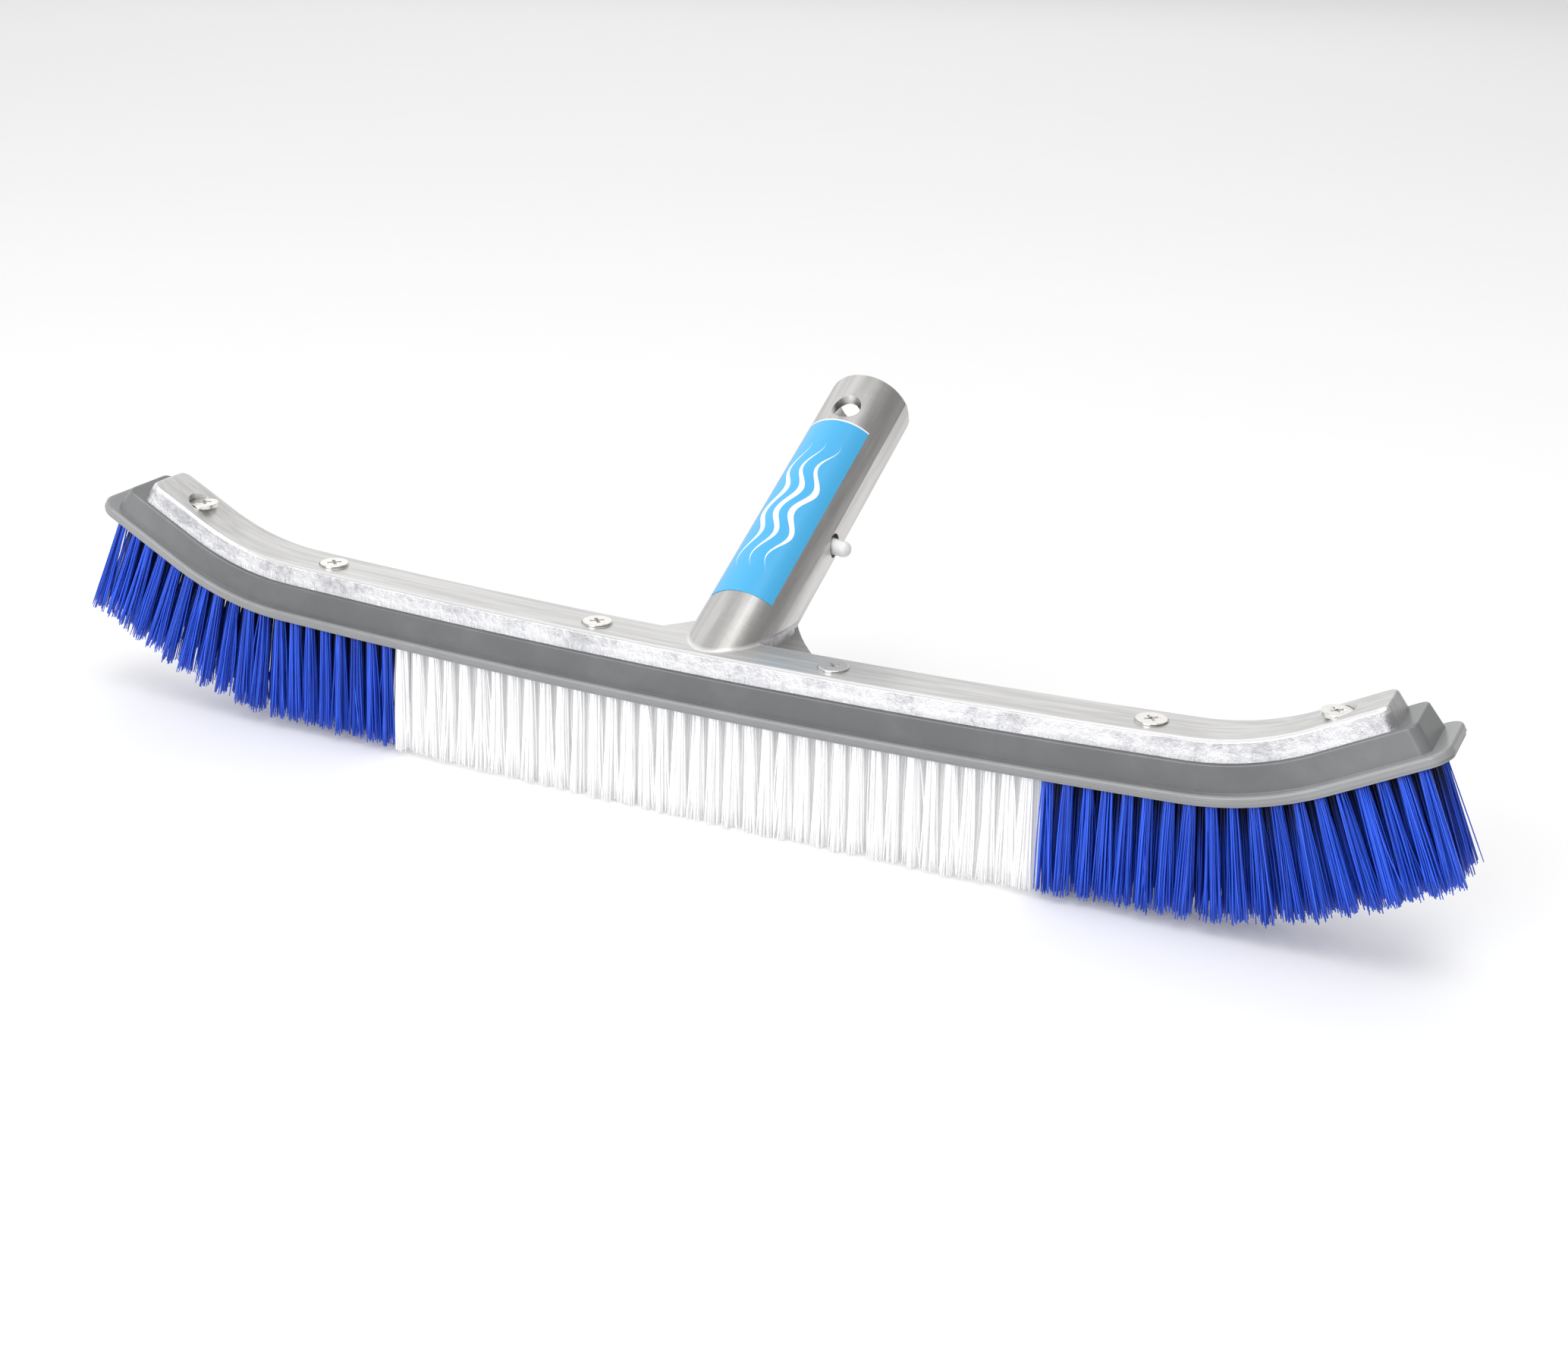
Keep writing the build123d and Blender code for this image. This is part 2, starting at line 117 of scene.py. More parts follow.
# Height above the brush's curve, so that marks can follow an edge of the casting or the block. The height
# of the curve itself is close to three runs of x: a parabola, a tighter parabola and a straight slope. The
# seam between the block's body and its flange lies on the curve, seam_height up in the middle.
bend_start, bend_length = 0.1514, 0.040
shallow_rise, bend_rise = 0.15, 5.7
slope_at_bend, slope_gained = 0.0454, 0.482
seam_height = 0.040
lift_effect, taken, given = new_effect("lift_above_curve", {"Place": None}, ["Lift", "Run"])
parts = wire(lift_effect, "ShaderNodeSeparateXYZ", {0: taken["Place"]}).outputs
away = calc(lift_effect, "ABSOLUTE", parts["X"])
past_bend = calc(lift_effect, "MAXIMUM", calc(lift_effect, "SUBTRACT", away, bend_start), 0.0)
in_bend = calc(lift_effect, "MINIMUM", past_bend, bend_length)
before = calc(lift_effect, "MINIMUM", away, bend_start)
height = calc(lift_effect, "MULTIPLY", calc(lift_effect, "MULTIPLY", before, before), shallow_rise)
height = calc(lift_effect, "MULTIPLY_ADD", past_bend, slope_at_bend, height)
in_bend_squared = calc(lift_effect, "MULTIPLY", in_bend, in_bend)
height = calc(lift_effect, "MULTIPLY_ADD", in_bend_squared, bend_rise, height)
beyond = calc(lift_effect, "SUBTRACT", past_bend, in_bend)
height = calc(lift_effect, "MULTIPLY_ADD", beyond, slope_gained, height)
lifted = calc(lift_effect, "SUBTRACT", parts["Z"], calc(lift_effect, "ADD", height, seam_height))
lift_effect.links.new(lifted, given["Lift"])
lift_effect.links.new(away, given["Run"])

# Grain of a cast or moulded skin: cloudy patches with finer grain on them.
grain_to_clouds = 7.0
grain_effect, taken, given = new_effect("skin_grain", {"Place": None, "Scale": 200.0}, ["Clouds", "Grain"])
clouds = wire(
    grain_effect,
    "ShaderNodeTexNoise",
    {"Vector": taken["Place"], "Scale": taken["Scale"], "Detail": 5.0, "Roughness": 0.6},
)
fine = wire(
    grain_effect,
    "ShaderNodeTexNoise",
    {
        "Vector": taken["Place"],
        "Scale": calc(grain_effect, "MULTIPLY", taken["Scale"], grain_to_clouds),
        "Detail": 3.0,
        "Roughness": 0.65,
    },
)
grain_effect.links.new(clouds.outputs["Fac"], given["Clouds"])
grain_effect.links.new(fine.outputs["Fac"], given["Grain"])

# Streaks left by brushing, sanding or filing: noise stretched by a different scale on each axis.
streak_effect, taken, given = new_effect(
    "streaks", {"Place": None, "X scale": 100.0, "Y scale": 100.0, "Z scale": 100.0}, ["Streaks"]
)
scales = wire(
    streak_effect,
    "ShaderNodeCombineXYZ",
    {"X": taken["X scale"], "Y": taken["Y scale"], "Z": taken["Z scale"]},
)
stretched = wire(
    streak_effect,
    "ShaderNodeVectorMath",
    {0: taken["Place"], 1: scales.outputs[0]},
    operation="MULTIPLY",
)
lines = wire(
    streak_effect,
    "ShaderNodeTexNoise",
    {"Vector": stretched.outputs[0], "Scale": 1.0, "Detail": 4.0, "Roughness": 0.6},
)
streak_effect.links.new(lines.outputs["Fac"], given["Streaks"])

# Frame of the handle socket: distance up its axis, round its wall from the front, and out from its axis.
socket_tilt = math.radians(63.0)
socket_base = Vector((0, 0.0252, 0.0547))
socket_axis = Vector((0, math.sin(socket_tilt), math.cos(socket_tilt)))
socket_front = Vector((0, -math.cos(socket_tilt), math.sin(socket_tilt)))
tube_effect, taken, given = new_effect("socket_frame", {"Place": None}, ["Up", "Round", "Out"])
from_base = wire(
    tube_effect, "ShaderNodeVectorMath", {0: taken["Place"], 1: socket_base}, operation="SUBTRACT"
).outputs[0]
up_socket = wire(
    tube_effect, "ShaderNodeVectorMath", {0: from_base, 1: socket_axis}, operation="DOT_PRODUCT"
).outputs["Value"]
forward = wire(
    tube_effect, "ShaderNodeVectorMath", {0: from_base, 1: socket_front}, operation="DOT_PRODUCT"
).outputs["Value"]
sideways = wire(tube_effect, "ShaderNodeSeparateXYZ", {0: taken["Place"]}).outputs["X"]
around = calc(tube_effect, "ARCTAN2", sideways, forward)
squares = calc(tube_effect, "MULTIPLY", sideways, sideways)
squares = calc(tube_effect, "MULTIPLY_ADD", forward, forward, squares)
tube_effect.links.new(up_socket, given["Up"])
tube_effect.links.new(around, given["Round"])
tube_effect.links.new(calc(tube_effect, "SQRT", squares), given["Out"])

# Bands over which one finish, or the painted highlight on the bar's rounded top edge, fades into the next:
# the socket's skin is measured out from its axis, the next three as height above the curve, and the last
# three as the share of a face's normal that points up or out.
socket_skin = (0.0145, 0.0148)
socket_above_bar = (0.0148, 0.0158)
rounded_edge = (0.0138, 0.0146)
filed_band = (0.0092, 0.0115)
side_to_top = (0.45, 0.70)
edge_from_top, edge_to_side = (0.10, 0.35), (0.88, 0.96)
edge_highlight_share = 0.8
skin_scale, patch_scale = 430.0, 75.0
cast_relief = 0.0004
satin_light = (0.64, 0.635, 0.63, 1)
satin_dark = (0.52, 0.515, 0.51, 1)
# Painted highlight: the pale colour below is laid along the bar's rounded top edge.
painted_edge_highlight = (0.97, 0.97, 0.97, 1)
skin_light = (0.53, 0.53, 0.545, 1)
skin_dark = (0.35, 0.35, 0.365, 1)
skin_pit = (0.16, 0.15, 0.15, 1)
socket_light = (0.66, 0.65, 0.64, 1)
socket_dark = (0.50, 0.49, 0.475, 1)

cast, tree, shader, coords = new_material("cast_aluminium")
place, facing = coords.outputs["Object"], coords.outputs["Normal"]
facing_parts = wire(tree, "ShaderNodeSeparateXYZ", {0: facing}).outputs
facing_up = facing_parts["Z"]
facing_out = calc(tree, "ABSOLUTE", facing_parts["Y"])
lift = use_effect(tree, lift_effect, {"Place": place})
skin = use_effect(tree, grain_effect, {"Place": place, "Scale": skin_scale})
patches = use_effect(tree, grain_effect, {"Place": place, "Scale": patch_scale})
tube = use_effect(tree, tube_effect, {"Place": place})
tube_place = wire(
    tree, "ShaderNodeCombineXYZ", {"X": tube["Round"], "Y": tube["Up"], "Z": tube["Out"]}
).outputs[0]
on_tube = calc(
    tree,
    "MULTIPLY",
    ramp(tree, tube["Out"], *socket_skin, 1.0, 0.0),
    ramp(tree, lift["Lift"], *socket_above_bar),
)
on_side = calc(
    tree,
    "MULTIPLY",
    ramp(tree, calc(tree, "ABSOLUTE", facing_up), *side_to_top, 1.0, 0.0),
    calc(tree, "SUBTRACT", 1.0, on_tube),
)
long_streaks = use_effect(
    tree, streak_effect, {"Place": place, "X scale": 28.0, "Y scale": 500.0, "Z scale": 200.0}
)["Streaks"]
file_marks = use_effect(
    tree, streak_effect, {"Place": place, "X scale": 1500.0, "Y scale": 120.0, "Z scale": 160.0}
)["Streaks"]
turned_lines = use_effect(
    tree, streak_effect, {"Place": tube_place, "X scale": 2.2, "Y scale": 3600.0, "Z scale": 100.0}
)["Streaks"]
bands = use_effect(
    tree, streak_effect, {"Place": tube_place, "X scale": 3.0, "Y scale": 16.0, "Z scale": 100.0}
)["Streaks"]
near_seat = ramp(tree, lift["Lift"], *filed_band, 1.0, 0.0)
filed = calc(tree, "MULTIPLY", near_seat, ramp(tree, file_marks, 0.42, 0.62))
top_colour = mix(tree, ramp(tree, long_streaks, 0.35, 0.65), satin_dark, satin_light)
mottle = calc(tree, "MULTIPLY_ADD", patches["Clouds"], 0.6, calc(tree, "MULTIPLY", skin["Clouds"], 0.4))
side_colour = mix(tree, ramp(tree, mottle, 0.38, 0.56), skin_dark, skin_light)
pits = ramp(tree, skin["Grain"], 0.29, 0.35, 1.0, 0.0)
pits = calc(tree, "MULTIPLY", pits, ramp(tree, patches["Clouds"], 0.40, 0.52))
side_colour = mix(tree, pits, side_colour, skin_pit)
side_colour = mix(tree, filed, side_colour, skin_light)
socket_colour = mix(tree, ramp(tree, bands, 0.35, 0.68), socket_dark, socket_light)
socket_colour = mix(tree, ramp(tree, turned_lines, 0.45, 0.8, 0.0, 0.4), socket_colour, satin_light)
colour = mix(tree, on_side, top_colour, side_colour)
# Painted highlight: a pale line along the bar's rounded top edge, where its top turns down into its sides.
highlit_edge = calc(
    tree,
    "MULTIPLY",
    ramp(tree, facing_out, *edge_from_top),
    ramp(tree, facing_out, *edge_to_side, 1.0, 0.0),
)
highlit_edge = calc(tree, "MULTIPLY", highlit_edge, ramp(tree, lift["Lift"], *rounded_edge))
colour = mix(tree, calc(tree, "MULTIPLY", highlit_edge, edge_highlight_share), colour, painted_edge_highlight)
colour = mix(tree, on_tube, colour, socket_colour)
tree.links.new(colour, shader.inputs["Base Color"])
rough_top = calc(tree, "MULTIPLY_ADD", skin["Grain"], 0.12, 0.30)
rough_side = calc(tree, "MULTIPLY_ADD", skin["Clouds"], 0.35, 0.20)
rough_side = calc(tree, "MULTIPLY_ADD", filed, 0.15, rough_side)
rough_socket = calc(tree, "MULTIPLY_ADD", turned_lines, 0.16, 0.24)
rough = wire(tree, "ShaderNodeMix", {0: on_side, 2: rough_top, 3: rough_side}).outputs[0]
rough = wire(tree, "ShaderNodeMix", {0: on_tube, 2: rough, 3: rough_socket}).outputs[0]
tree.links.new(rough, shader.inputs["Roughness"])
bump_side = calc(tree, "MULTIPLY_ADD", skin["Grain"], 0.35, skin["Clouds"])
bump_side = calc(tree, "MULTIPLY_ADD", calc(tree, "MULTIPLY", near_seat, file_marks), 0.7, bump_side)
bump_top = calc(tree, "MULTIPLY", long_streaks, 0.10)
bump_socket = calc(tree, "MULTIPLY", turned_lines, 0.12)
relief = wire(tree, "ShaderNodeMix", {0: on_side, 2: bump_top, 3: bump_side}).outputs[0]
relief = wire(tree, "ShaderNodeMix", {0: on_tube, 2: relief, 3: bump_socket}).outputs[0]
bump = wire(tree, "ShaderNodeBump", {"Height": relief, "Distance": cast_relief, "Strength": 0.6})
tree.links.new(bump.outputs[0], shader.inputs["Normal"])
shader.inputs["Metallic"].default_value = 1.0


def finish_node(name, material):
    """Gives a carried-over CAD node its material."""
    nodes[name].data.materials.clear()
    nodes[name].data.materials.append(material)


finish_node("back_casting", cast)


# Brush block: one grey polypropylene moulding, a drafted body on a flange. Its faces show faint sink marks
# over the tuft holes, and the top of the flange a fine line where the two halves of the mould met.
# Painted light: the top of the flange and both ends of the block are coloured paler than the rest.
flange_line, mould_line_below = (-0.0002, 0.0003), 0.0014
mould_line_edges = (0.00008, 0.00022)
sink_fade, painted_light_ends = (0.0005, 0.0075), (0.16, 0.235)
block_grey = (0.105, 0.108, 0.112, 1)
block_lit_grey = (0.270, 0.273, 0.276, 1)
tuft_pitch = 0.00592

plastic, tree, shader, coords = new_material("grey_plastic")
place = coords.outputs["Object"]
lift = use_effect(tree, lift_effect, {"Place": place})
skin = use_effect(tree, grain_effect, {"Place": place, "Scale": 60.0})
# Painted light: the flange and the ends of the block are mixed towards the paler grey; the cloudy skin adds a
# random paler tone.
lit_flange = ramp(tree, lift["Lift"], *flange_line, 1.0, 0.0)
painted_end_light = ramp(tree, lift["Run"], *painted_light_ends, 0.0, 0.45)
shade = calc(tree, "ADD", calc(tree, "MULTIPLY", lit_flange, 0.75), painted_end_light)
shade = calc(tree, "ADD", shade, ramp(tree, skin["Clouds"], 0.4, 0.7, 0.0, 0.12))
tree.links.new(mix(tree, shade, block_grey, block_lit_grey), shader.inputs["Base Color"])
tree.links.new(calc(tree, "MULTIPLY_ADD", skin["Grain"], 0.10, 0.20), shader.inputs["Roughness"])
sinks = calc(tree, "SINE", calc(tree, "MULTIPLY", lift["Run"], 2 * math.pi / tuft_pitch))
sinks = calc(tree, "MULTIPLY", sinks, ramp(tree, lift["Lift"], *sink_fade, 0.35, 0.05))
mould_line = calc(tree, "ABSOLUTE", calc(tree, "ADD", lift["Lift"], mould_line_below))
mould_line = ramp(tree, mould_line, *mould_line_edges, 1.6, 0.0)
relief = calc(tree, "MULTIPLY_ADD", skin["Grain"], 0.25, calc(tree, "ADD", sinks, mould_line))
bump = wire(tree, "ShaderNodeBump", {"Height": relief, "Distance": 0.0001, "Strength": 0.5})
tree.links.new(bump.outputs[0], shader.inputs["Normal"])
shader.inputs["Specular IOR Level"].default_value = 0.55
finish_node("brush_block", plastic)


# Anchor staples: short pieces of flat galvanised wire. Each is driven with its folded tuft into the bottom of
# the tuft's hole and grips it there, out of sight.
wire_light = (0.62, 0.62, 0.62, 1)
wire_dark = (0.40, 0.40, 0.41, 1)

staple_metal, tree, shader, coords = new_material("staple_wire")
skin = use_effect(tree, grain_effect, {"Place": coords.outputs["Object"], "Scale": 900.0})
tree.links.new(mix(tree, skin["Clouds"], wire_dark, wire_light), shader.inputs["Base Color"])
tree.links.new(calc(tree, "MULTIPLY_ADD", skin["Grain"], 0.3, 0.25), shader.inputs["Roughness"])
shader.inputs["Metallic"].default_value = 1.0
row_names = ("front", "second", "middle", "fourth", "back")
for row_name in row_names:
    finish_node(f"staples_{row_name}", staple_metal)


# Bristles: nylon monofilament folded into tufts, five rows of them, blue at both ends and white between.
# Each filament is a thin four-sided rod of its own. The tufts flare until they meet, and the inner rows
# stand a little fuller, so that little light passes straight through. The tips are cut unevenly.

# The curve the brush follows is a long shallow arc, a tight bend near each end, and a straight end.
shallow_radius, shallow_run = 3.333, 0.1515
bend_radius, bend_angle = 0.095, math.radians(25.2)

# Tufts, and the filaments they are made of.
flange_and_lip = 0.0034
row_pitch = 0.00475
tufts_each_side, white_each_side = 37, 18
outer_root_radius, inner_root_radius = 0.00155, 0.00230
outer_flare, inner_flare = 0.0027, 0.0031
stray_share, stray_spread = 0.05, 3.2
blue_ragged, white_ragged = 0.0011, 0.0005
tuft_scatter, tip_scatter, bow_scatter = 0.00035, 0.00042, 0.00022
spread_power, tip_share = 1.25, 0.7
seeds_a_row = 10
filament_radius = 0.00024
filament_count = 40
ring_count = 6
bristle_length = 0.0366
root_in_block = 0.0020
lean_share = 0.8
screw_places = (0.0403, 0.1386, 0.1900)
screw_reach = 0.00455
hole_depth = 0.0064


def on_curve(run, lift):
    """Places on the brush's curve in its middle plane, and the slope there.

    run is the distance along the curve from the middle and lift the distance square to it, above the seam
    between the block's body and its flange. The slope is run / shallow_radius up to shallow_run, then grows
    by (run - shallow_run) / bend_radius until the bend has turned by bend_angle, then stays. X and Z are the
    integrals of its cosine and sine, plus lift times the unit vector square to it.
    """
    side, run = np.sign(run), np.abs(run)
    first = np.minimum(run, shallow_run) / shallow_radius
    bend = np.clip(run - shallow_run, 0, bend_angle * bend_radius) / bend_radius
    straight = np.maximum(run - shallow_run - bend_angle * bend_radius, 0)
    slope = first + bend
    x = shallow_radius * np.sin(first) + bend_radius * (np.sin(slope) - np.sin(first))
    z = shallow_radius * (1 - np.cos(first)) + bend_radius * (np.cos(first) - np.cos(slope))
    x = side * (x + straight * np.cos(slope) - lift * np.sin(slope))
    z = seam_height + z + straight * np.sin(slope) + lift * np.cos(slope)
    return x, z, side * slope


def tuft_runs(row):
    """Distances along the curve of one row's tufts: whole pitches, plus a half in every second row.

    The middle row leaves out each tuft whose hole comes within screw_reach of a screw, at its mouth or at its
    bottom.
    """
    shift = 0.5 * (row % 2)
    runs = (np.arange(-tufts_each_side, tufts_each_side + 1 - row % 2) + shift) * tuft_pitch
    if row_names[row] != "middle":
        return runs
    mouth = np.abs(on_curve(runs, -flange_and_lip)[0])
    bottom = np.abs(on_curve(runs, hole_depth - flange_and_lip)[0])
    low, high = np.minimum(mouth, bottom), np.maximum(mouth, bottom)
    free = np.ones(len(runs), bool)
    for screw_place in screw_places:
        free &= (screw_place < low - screw_reach) | (screw_place > high + screw_reach)
    return runs[free]


def fill_mesh(name, vertices, quads):
    """New object from an array of points and an array of quads, with smooth faces."""
    mesh = bpy.data.meshes.new(name)
    mesh.vertices.add(len(vertices))
    mesh.vertices.foreach_set("co", vertices.astype(np.float32).ravel())
    mesh.loops.add(quads.size)
    mesh.loops.foreach_set("vertex_index", quads.astype(np.int32).ravel())
    mesh.polygons.add(len(quads))
    mesh.polygons.foreach_set("loop_start", np.arange(0, quads.size, 4, dtype=np.int32))
    mesh.polygons.foreach_set("use_smooth", np.ones(len(quads), bool))
    mesh.update(calc_edges=True)
    obj = bpy.data.objects.new(name, mesh)
    bpy.context.scene.collection.objects.link(obj)
    return obj


def bristle_rows(name, runs, across, ragged, root_radius, flare, stray, draws):
    """One row's filaments of one colour, as closed four-sided rods.

    Filament i of a tuft leaves the block at a random place in a disc of root_radius and ends at the same
    place in a disc of radius flare, moved by a normal draw. On the way its offset goes from the first to the
    second as t to the power spread_power, plus a bow of sin(pi t). Its length is bristle_length less the size
    of a normal draw of spread ragged. Ring k of it is four points round its centre at t = k / ring_count,
    turned by a random angle, and the last ring is narrower, where the cutter rounded it.
    """
    x, z, slope = on_curve(runs, -flange_and_lip)
    slope = slope * lean_share
    along = np.stack([np.cos(slope), 0 * slope, np.sin(slope)], -1)
    up = np.stack([-np.sin(slope), 0 * slope, np.cos(slope)], -1)
    roots = np.stack([x, 0 * x + across, z], -1)
    shape = (len(runs), filament_count)
    spread = np.sqrt(draws.random(shape))
    angle = draws.random(shape) * 2 * math.pi
    disc = np.stack([spread * np.cos(angle), spread * np.sin(angle)], -1)
    loose = np.where(draws.random(shape) < stray, stray_spread, 1.0)[..., None]
    tuft_drift = draws.normal(0, tuft_scatter, (len(runs), 1, 2))
    tips = disc * flare + tuft_drift + draws.normal(0, tip_scatter, shape + (2,)) * loose
    bow = draws.normal(0, bow_scatter, shape + (2,)) * loose
    length = bristle_length - np.minimum(np.abs(draws.normal(0, ragged, shape)), 3 * ragged)
    t = np.linspace(0, 1, ring_count + 1)[:, None]
    offset = disc[:, :, None] * root_radius * (1 - t**spread_power) + tips[:, :, None] * t**spread_power
    offset = offset + bow[:, :, None] * np.sin(math.pi * t)
    drop = root_in_block - t[:, 0] * (length + root_in_block)[..., None]
    centre = (
        roots[:, None, None]
        + offset[..., :1] * along[:, None, None]
        + offset[..., 1:] * np.array([0.0, 1.0, 0.0])
        + drop[..., None] * up[:, None, None]
    )
    turn = draws.random(shape)[..., None, None] * math.pi / 2 + np.arange(4) * math.pi / 2
    width = filament_radius * np.where(np.arange(ring_count + 1) == ring_count, tip_share, 1.0)[:, None]
    points = (
        centre[:, :, :, None]
        + (width * np.cos(turn))[..., None] * along[:, None, None, None]
        + (width * np.sin(turn))[..., None] * np.array([0.0, 1.0, 0.0])
    )
    ring = np.arange(ring_count)[:, None] * 4
    corner, after = np.arange(4), (np.arange(4) + 1) % 4
    sides = np.stack([ring + corner, ring + 4 + corner, ring + 4 + after, ring + after], -1).reshape(-1, 4)
    caps = np.array([[0, 1, 2, 3], [3, 2, 1, 0]]) + np.array([[0], [4 * ring_count]])
    one = np.concatenate([sides, caps])
    starts = np.arange(len(runs) * filament_count) * 4 * (ring_count + 1)
    quads = (one[None] + starts[:, None, None]).reshape(-1, 4)
    obj = fill_mesh(name, points.reshape(-1, 3), quads)
    shades = np.broadcast_to(draws.random(shape)[..., None, None], points.shape[:-1])
    reach = np.broadcast_to(t, points.shape[:-1])
    for key, values in (("shade", shades), ("reach", reach)):
        attribute = obj.data.attributes.new(key, "FLOAT", "POINT")
        attribute.data.foreach_set("value", values.astype(np.float32).ravel())
    return obj


def bristle_material(name, painted_root_shade, deep_colour, bright_colour, rough, clear_of_root, painted_glow):
    """Nylon filament: painted shade towards the block, where the tufts crowd, and a tone of its own for each
    filament.

    The painted root shade has faded by clear_of_root, a share of the length. glow is painted light, an
    emission that stands for the light white nylon scatters from filament to filament.
    """
    material, tree, shader, coords = new_material(name)
    shade = wire(tree, "ShaderNodeAttribute", attribute_name="shade").outputs["Fac"]
    reach = wire(tree, "ShaderNodeAttribute", attribute_name="reach").outputs["Fac"]
    skin = use_effect(tree, grain_effect, {"Place": coords.outputs["Object"], "Scale": 90.0})
    own = calc(tree, "MULTIPLY_ADD", skin["Clouds"], 0.5, calc(tree, "MULTIPLY", shade, 0.75))
    colour = mix(tree, ramp(tree, own, 0.15, 0.95), deep_colour, bright_colour)
    # Painted shade: towards the block the colour goes over to the dark root colour.
    colour = mix(tree, ramp(tree, reach, 0.02, clear_of_root), painted_root_shade, colour)
    tree.links.new(colour, shader.inputs["Base Color"])
    # Painted light: the filament glows with its own colour.
    if painted_glow:
        tree.links.new(colour, shader.inputs["Emission Color"])
        shader.inputs["Emission Strength"].default_value = painted_glow
    tree.links.new(calc(tree, "MULTIPLY_ADD", skin["Grain"], 0.15, rough), shader.inputs["Roughness"])
    bump = wire(tree, "ShaderNodeBump", {"Height": skin["Grain"], "Distance": 0.00002, "Strength": 0.3})
    tree.links.new(bump.outputs[0], shader.inputs["Normal"])
    return material


blue_outer = bristle_material(
    "blue_bristle_outer",
    painted_root_shade=(0.006, 0.055, 0.50, 1),
    deep_colour=(0.002, 0.045, 0.44, 1),
    bright_colour=(0.032, 0.13, 0.86, 1),
    rough=0.24,
    clear_of_root=0.15,
    painted_glow=0.0,
)
# Painted shade: the inner rows' blue is a darker copy of the outer rows', with a near-black root reaching
# further up.
blue_inner_shaded = bristle_material(
    "blue_bristle_inner_shaded",
    painted_root_shade=(0.0, 0.001, 0.012, 1),
    deep_colour=(0.002, 0.03, 0.34, 1),
    bright_colour=(0.02, 0.10, 0.74, 1),
    rough=0.32,
    clear_of_root=0.60,
    painted_glow=0.0,
)
# Painted light: the white filaments below glow a little.
white_outer = bristle_material(
    "white_bristle_outer",
    painted_root_shade=(0.95, 0.95, 0.96, 1),
    deep_colour=(0.96, 0.96, 0.97, 1),
    bright_colour=(0.99, 0.99, 0.99, 1),
    rough=0.30,
    clear_of_root=0.30,
    painted_glow=0.12,
)
# Painted shade: the inner rows' white is a little darker than the outer rows', and darker at the root.
white_inner_shaded = bristle_material(
    "white_bristle_inner_shaded",
    painted_root_shade=(0.84, 0.85, 0.87, 1),
    deep_colour=(0.95, 0.95, 0.96, 1),
    bright_colour=(0.98, 0.98, 0.98, 1),
    rough=0.34,
    clear_of_root=0.40,
    painted_glow=0.12,
)
white_reach = (white_each_side + 0.5) * tuft_pitch
blue_finish = (blue_outer, blue_inner_shaded, blue_ragged, "blue_bristle")
white_finish = (white_outer, white_inner_shaded, white_ragged, "white_bristle")
stretches = {
    "blue_left": (lambda run: run < -white_reach, blue_finish),
    "white": (lambda run: np.abs(run) <= white_reach, white_finish),
    "blue_right": (lambda run: run > white_reach, blue_finish),
}
for row, row_name in enumerate(row_names):
    for colour_name, (keep, finish) in stretches.items():
        outer, inner, ragged, slot_name = finish
        runs = tuft_runs(row)
        runs = runs[keep(runs)]
        piece = bristle_rows(
            f"bristles_{row_name}_{colour_name}",
            runs,
            (row - 2) * row_pitch,
            ragged,
            outer_root_radius if row in (0, 4) else inner_root_radius,
            outer_flare if row in (0, 4) else inner_flare,
            stray_share,
            np.random.default_rng(seeds_a_row * row + len(colour_name)),
        )
        piece.data.materials.append(outer if row in (0, 4) else inner)
        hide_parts(f"tufts_{row_name}_{colour_name}")
        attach(piece, "brush")


# Screws: nickel-plated self-tapping screws with a flat countersunk head and a cross recess, driven down
# through the casting into the block. The plating is bright, with small brownish patches of tarnish.
nickel_light = (0.76, 0.745, 0.715, 1)
nickel_dark = (0.40, 0.35, 0.30, 1)

nickel, tree, shader, coords = new_material("screw_nickel")
place = coords.outputs["Object"]
skin = use_effect(tree, grain_effect, {"Place": place, "Scale": 500.0})
tree.links.new(
    mix(tree, ramp(tree, skin["Clouds"], 0.22, 0.42), nickel_dark, nickel_light), shader.inputs["Base Color"]
)
tree.links.new(calc(tree, "MULTIPLY_ADD", skin["Grain"], 0.20, 0.12), shader.inputs["Roughness"])
bump = wire(tree, "ShaderNodeBump", {"Height": skin["Clouds"], "Distance": 0.00003, "Strength": 0.3})
tree.links.new(bump.outputs[0], shader.inputs["Normal"])
shader.inputs["Metallic"].default_value = 1.0
for number in range(1, 7):
    finish_node(f"screw_{number}", nickel)


# Label: sky blue vinyl film stuck round the front of the socket, with a thin white edge at its top. The print
# on it is a plain pattern of three waves that taper at both ends.
film_blue = (0.062, 0.41, 0.74, 1)
film_white = (0.90, 0.91, 0.92, 1)
wave_gap, wave_height, wave_length = 0.0052, 0.0019, 0.021
wave_shift, wave_field, wave_half_width = 0.0012, 0.0064, 0.00105
wave_taper, wave_ends = (0.004, 0.031), (0.0298, 0.0303)
film_radius, film_middle, film_top = 0.01432, 0.040, 0.0810
print_sharpness, stroke_sharpness = 0.0002, 0.00006

